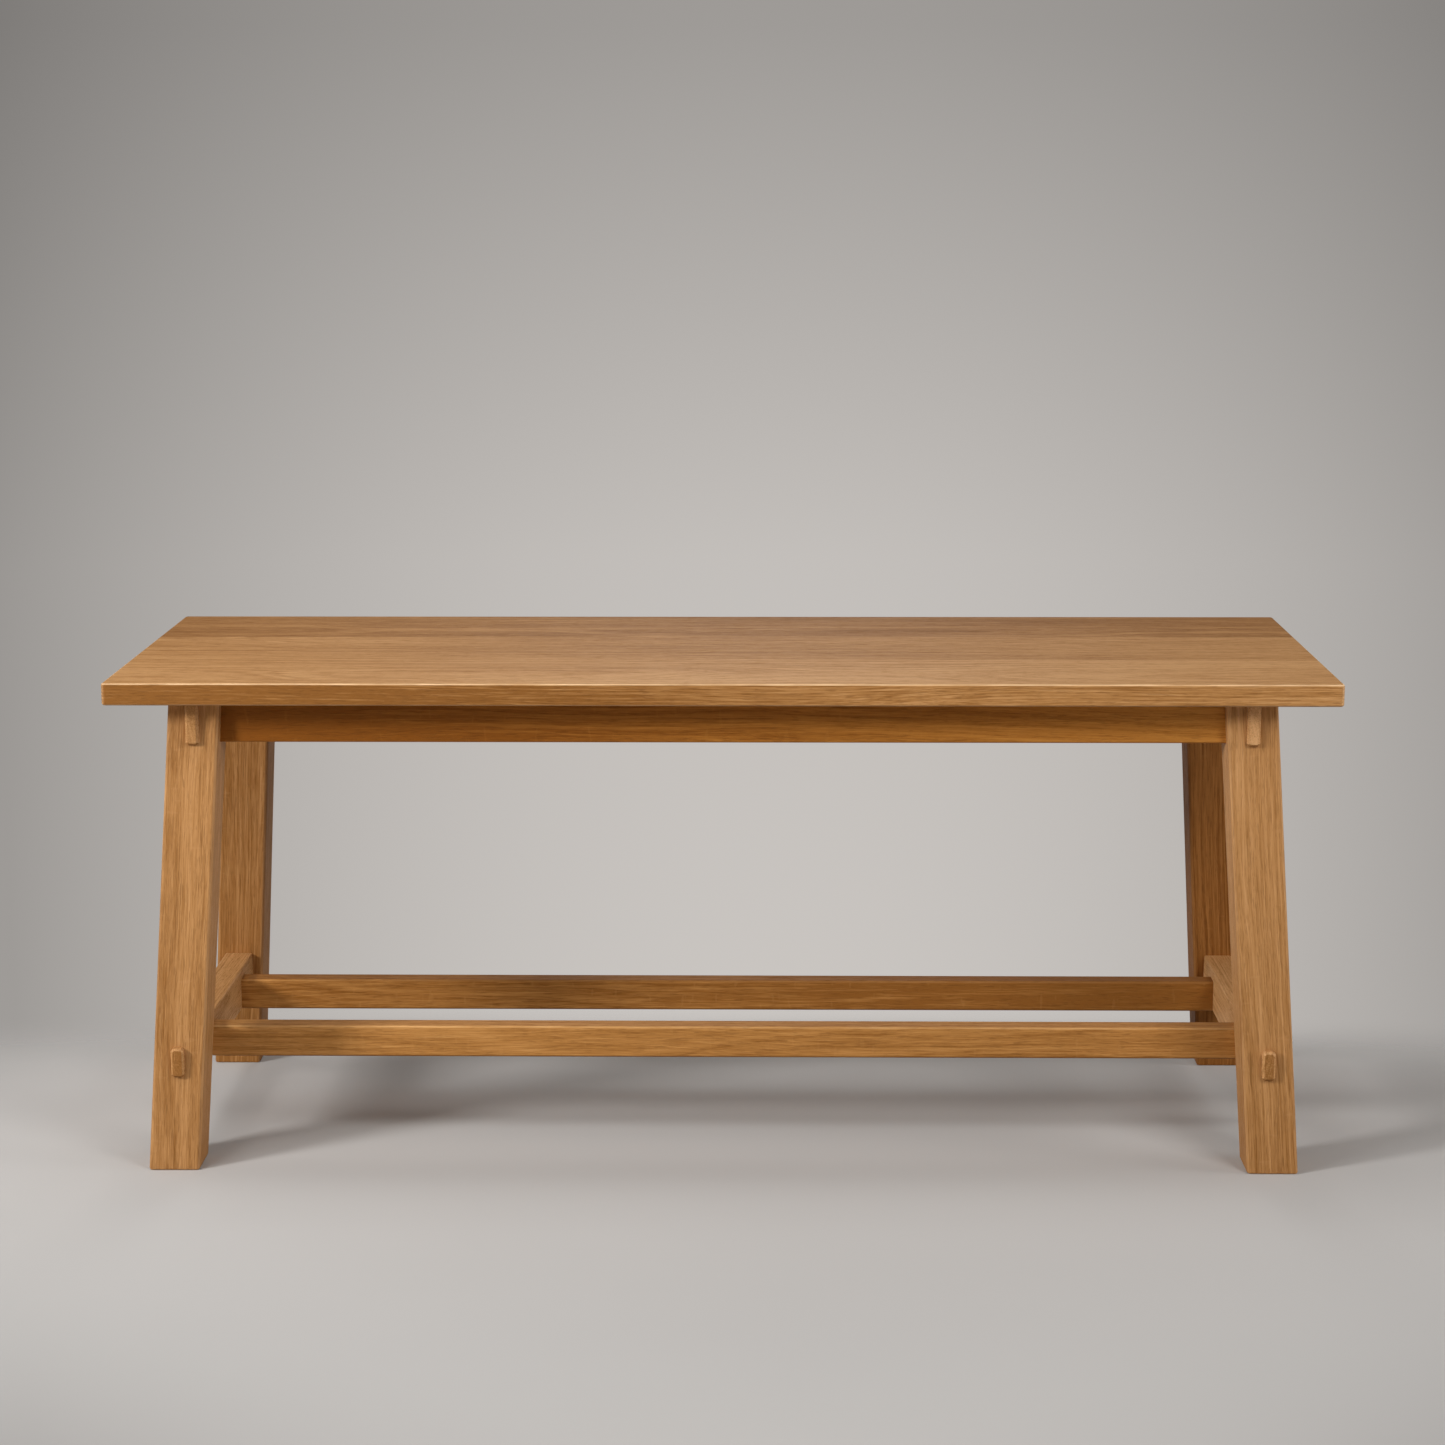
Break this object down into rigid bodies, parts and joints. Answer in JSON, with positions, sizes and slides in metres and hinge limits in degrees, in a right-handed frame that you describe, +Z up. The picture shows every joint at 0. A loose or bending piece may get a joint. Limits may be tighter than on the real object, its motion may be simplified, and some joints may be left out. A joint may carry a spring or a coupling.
{
  "type": "wooden bench",
  "caption": "Low oak bench with a thin slab seat on splayed square legs, end frames with through tenons, and long stretchers near the floor.",
  "frame": {"origin": "on the floor, under the middle of the seat", "axes": "+X along the bench to the sitter's left as they face away from it, -Y the front, +Z up"},
  "size_m": [1.09, 0.395, 0.45],
  "materials": {
    "seat_oak": "honey oak with straight grain along the bench and a satin oil finish",
    "leg_oak": "honey oak with fine dark pores along the leg and a satin oil finish",
    "rail_oak": "honey oak with grain along the rail and a satin oil finish",
    "button_oak": "bare planed oak",
    "screw_steel": "bright zinc plated steel"
  },
  "bodies": {
    "root": {"seat_board_front": "seat_oak", "seat_board_middle": "seat_oak", "seat_board_rear": "seat_oak", "leg_front_left": "leg_oak", "leg_front_right": "leg_oak", "leg_rear_left": "leg_oak", "leg_rear_right": "leg_oak", "end_rail_left": "rail_oak", "end_rail_right": "rail_oak", "end_stretcher_left": "rail_oak", "end_stretcher_right": "rail_oak", "apron_front": "rail_oak", "apron_rear": "rail_oak", "long_stretcher_front": "rail_oak", "long_stretcher_rear": "rail_oak", "seat_button_apron_front_left": "button_oak", "seat_button_apron_front_right": "button_oak", "seat_button_apron_rear_left": "button_oak", "seat_button_apron_rear_right": "button_oak", "seat_button_end_left_front": "button_oak", "seat_button_end_left_rear": "button_oak", "seat_button_end_right_front": "button_oak", "seat_button_end_right_rear": "button_oak", "seat_screw_apron_front_left": "screw_steel", "seat_screw_apron_front_right": "screw_steel", "seat_screw_apron_rear_left": "screw_steel", "seat_screw_apron_rear_right": "screw_steel", "seat_screw_end_left_front": "screw_steel", "seat_screw_end_left_rear": "screw_steel", "seat_screw_end_right_front": "screw_steel", "seat_screw_end_right_rear": "screw_steel"}
  },
  "joints": []
}
